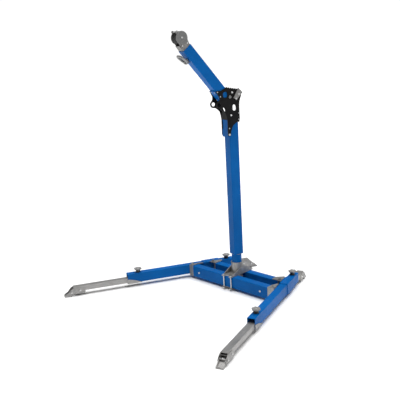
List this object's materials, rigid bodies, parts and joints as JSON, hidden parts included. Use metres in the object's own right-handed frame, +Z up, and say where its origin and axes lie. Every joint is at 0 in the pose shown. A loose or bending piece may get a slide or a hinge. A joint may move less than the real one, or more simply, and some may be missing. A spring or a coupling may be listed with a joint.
{
  "type": "portable lifting davit",
  "caption": "Free-standing blue davit: a splayed H base with sliding, hinged feet, a swivelling square mast and a pivoting arm with a twin-sheave head.",
  "frame": {"origin": "on the floor, under the middle of the whole object's bounding box", "axes": "+Z up along the mast; -Y the way the long front legs point; +X towards the leg whose nodes start with right_"},
  "size_m": [1.7804, 1.559, 1.9682],
  "materials": {
    "blue_tube": "blue coating, satin",
    "plain_alloy": "plain mill and cast alloy",
    "black_plate": "black coating, satin",
    "bright_steel": "bright zinc",
    "grey_steel": "dull grey",
    "knob_moulding": "grey star grip on a black hub",
    "sheave_plastic": "black moulding",
    "bush_nylon": "plain"
  },
  "bodies": {
    "base": {"front_crossbar": "blue_tube", "rear_crossbar": "blue_tube", "front_left_set_bolt": "bright_steel", "front_right_set_bolt": "bright_steel", "mast_socket": "plain_alloy", "clamp_plate": "plain_alloy", "front_left_clamp_rod": "bright_steel", "front_right_clamp_rod": "bright_steel", "rear_left_clamp_rod": "bright_steel", "rear_right_clamp_rod": "bright_steel", "mast_bush": "bush_nylon"},
    "mast": {"mast_spigot": "blue_tube", "mast_tube": "blue_tube", "left_elbow_plate": "black_plate", "right_elbow_plate": "black_plate", "arm_stop_bolt": "bright_steel", "elbow_middle_bolt": "bright_steel", "elbow_lower_bolt": "bright_steel", "arm_pivot_bolt": "bright_steel", "mast_front_channel": "blue_tube", "elbow_bridge": "black_plate", "elbow_side_strap": "plain_alloy"},
    "arm": {"arm_tube": "blue_tube", "arm_root_guide": "blue_tube", "left_head_plate": "plain_alloy", "right_head_plate": "plain_alloy", "head_axle": "grey_steel", "rope_keeper": "bright_steel", "anchor_lug": "plain_alloy"},
    "left_sheave": {"left_head_sheave": "sheave_plastic"},
    "right_sheave": {"right_head_sheave": "sheave_plastic"},
    "anchor_ring": {"anchor_ring": "bright_steel"},
    "left_leg": {"left_front_leg_tube": "blue_tube", "left_rear_leg_tube": "blue_tube", "left_leg_collar": "blue_tube", "left_slide_shoe": "plain_alloy", "left_front_bracket": "plain_alloy", "left_rear_bracket": "plain_alloy"},
    "left_front_extension": {"left_front_extension": "plain_alloy", "left_front_foot_bracket": "plain_alloy"},
    "left_front_toe": {"left_front_toe": "plain_alloy"},
    "left_front_knob": {"left_front_knob": "knob_moulding"},
    "left_rear_extension": {"left_rear_extension": "plain_alloy", "left_rear_foot_bracket": "plain_alloy"},
    "left_rear_toe": {"left_rear_toe": "plain_alloy"},
    "left_rear_knob": {"left_rear_knob": "knob_moulding"},
    "right_leg": {"right_front_leg_tube": "blue_tube", "right_rear_leg_tube": "blue_tube", "right_leg_collar": "blue_tube", "right_slide_shoe": "plain_alloy", "right_front_bracket": "plain_alloy", "right_rear_bracket": "plain_alloy"},
    "right_front_extension": {"right_front_extension": "plain_alloy", "right_front_foot_bracket": "plain_alloy"},
    "right_front_toe": {"right_front_toe": "plain_alloy"},
    "right_front_knob": {"right_front_knob": "knob_moulding"},
    "right_rear_extension": {"right_rear_extension": "plain_alloy", "right_rear_foot_bracket": "plain_alloy"},
    "right_rear_toe": {"right_rear_toe": "plain_alloy"},
    "right_rear_knob": {"right_rear_knob": "knob_moulding"}
  },
  "joints": [
    {"name": "mast_swivel", "type": "hinge", "parent": "base", "child": "mast", "pos_m": [0.05161, 0.29428, 0.2], "axis": [0, 0, 1], "continuous": true},
    {"name": "arm_pivot", "type": "hinge", "parent": "mast", "child": "arm", "pos_m": [0.0441, 0.26626, 1.484], "axis": [0.9659, -0.2588, 0], "range_deg": [-16, 14]},
    {"name": "left_sheave_spin", "type": "hinge", "parent": "arm", "child": "left_sheave", "pos_m": [-0.06296, -0.08227, 1.91974], "axis": [0.9659, -0.2588, 0], "continuous": true},
    {"name": "right_sheave_spin", "type": "hinge", "parent": "arm", "child": "right_sheave", "pos_m": [-0.03746, -0.0891, 1.91974], "axis": [0.9659, -0.2588, 0], "continuous": true},
    {"name": "anchor_ring_hinge", "type": "hinge", "parent": "arm", "child": "anchor_ring", "pos_m": [-0.03958, -0.04604, 1.74976], "axis": [0.9659, -0.2588, 0], "range_deg": [-4, 110]},
    {"name": "left_leg_slide", "type": "slide", "parent": "base", "child": "left_leg", "axis": [-1, 0, 0], "range_m": [0, 0.12]},
    {"name": "left_front_extension_slide", "type": "slide", "parent": "left_leg", "child": "left_front_extension", "axis": [-0.4454, -0.8953, 0], "range_m": [-0.33, 0.06]},
    {"name": "left_front_toe_hinge", "type": "hinge", "parent": "left_front_extension", "child": "left_front_toe", "pos_m": [-0.84255, -0.66799, 0.034], "axis": [0.8953, -0.4454, 0], "range_deg": [0, 30]},
    {"name": "left_front_knob_turn", "type": "hinge", "parent": "left_leg", "child": "left_front_knob", "pos_m": [-0.60069, -0.18183, 0.11], "axis": [0, 0, 1], "range_deg": [0, 360]},
    {"name": "left_rear_extension_slide", "type": "slide", "parent": "left_leg", "child": "left_rear_extension", "axis": [0.4454, 0.8953, 0], "range_m": [0, 0.1]},
    {"name": "left_rear_toe_hinge", "type": "hinge", "parent": "left_rear_extension", "child": "left_rear_toe", "pos_m": [-0.16641, 0.69111, 0.034], "axis": [0.8953, -0.4454, 0], "range_deg": [-30, 0]},
    {"name": "left_rear_knob_turn", "type": "hinge", "parent": "left_leg", "child": "left_rear_knob", "pos_m": [-0.26173, 0.49951, 0.11], "axis": [0, 0, 1], "range_deg": [0, 360]},
    {"name": "right_leg_slide", "type": "slide", "parent": "base", "child": "right_leg", "axis": [1, 0, 0], "range_m": [0, 0.12]},
    {"name": "right_front_extension_slide", "type": "slide", "parent": "right_leg", "child": "right_front_extension", "axis": [0.3261, -0.9453, 0], "range_m": [-0.33, 0.06]},
    {"name": "right_front_toe_hinge", "type": "hinge", "parent": "right_front_extension", "child": "right_front_toe", "pos_m": [0.84811, -0.71752, 0.034], "axis": [0.9453, 0.3261, 0], "range_deg": [0, 30]},
    {"name": "right_front_knob_turn", "type": "hinge", "parent": "right_leg", "child": "right_front_knob", "pos_m": [0.67106, -0.20419, 0.11], "axis": [0, 0, 1], "range_deg": [0, 360]},
    {"name": "right_rear_extension_slide", "type": "slide", "parent": "right_leg", "child": "right_rear_extension", "axis": [-0.3261, 0.9453, 0], "range_m": [0, 0.1]},
    {"name": "right_rear_toe_hinge", "type": "hinge", "parent": "right_rear_extension", "child": "right_rear_toe", "pos_m": [0.35315, 0.71752, 0.034], "axis": [0.9453, 0.3261, 0], "range_deg": [-30, 0]},
    {"name": "right_rear_knob_turn", "type": "hinge", "parent": "right_leg", "child": "right_rear_knob", "pos_m": [0.42293, 0.51522, 0.11], "axis": [0, 0, 1], "range_deg": [0, 360]}
  ]
}
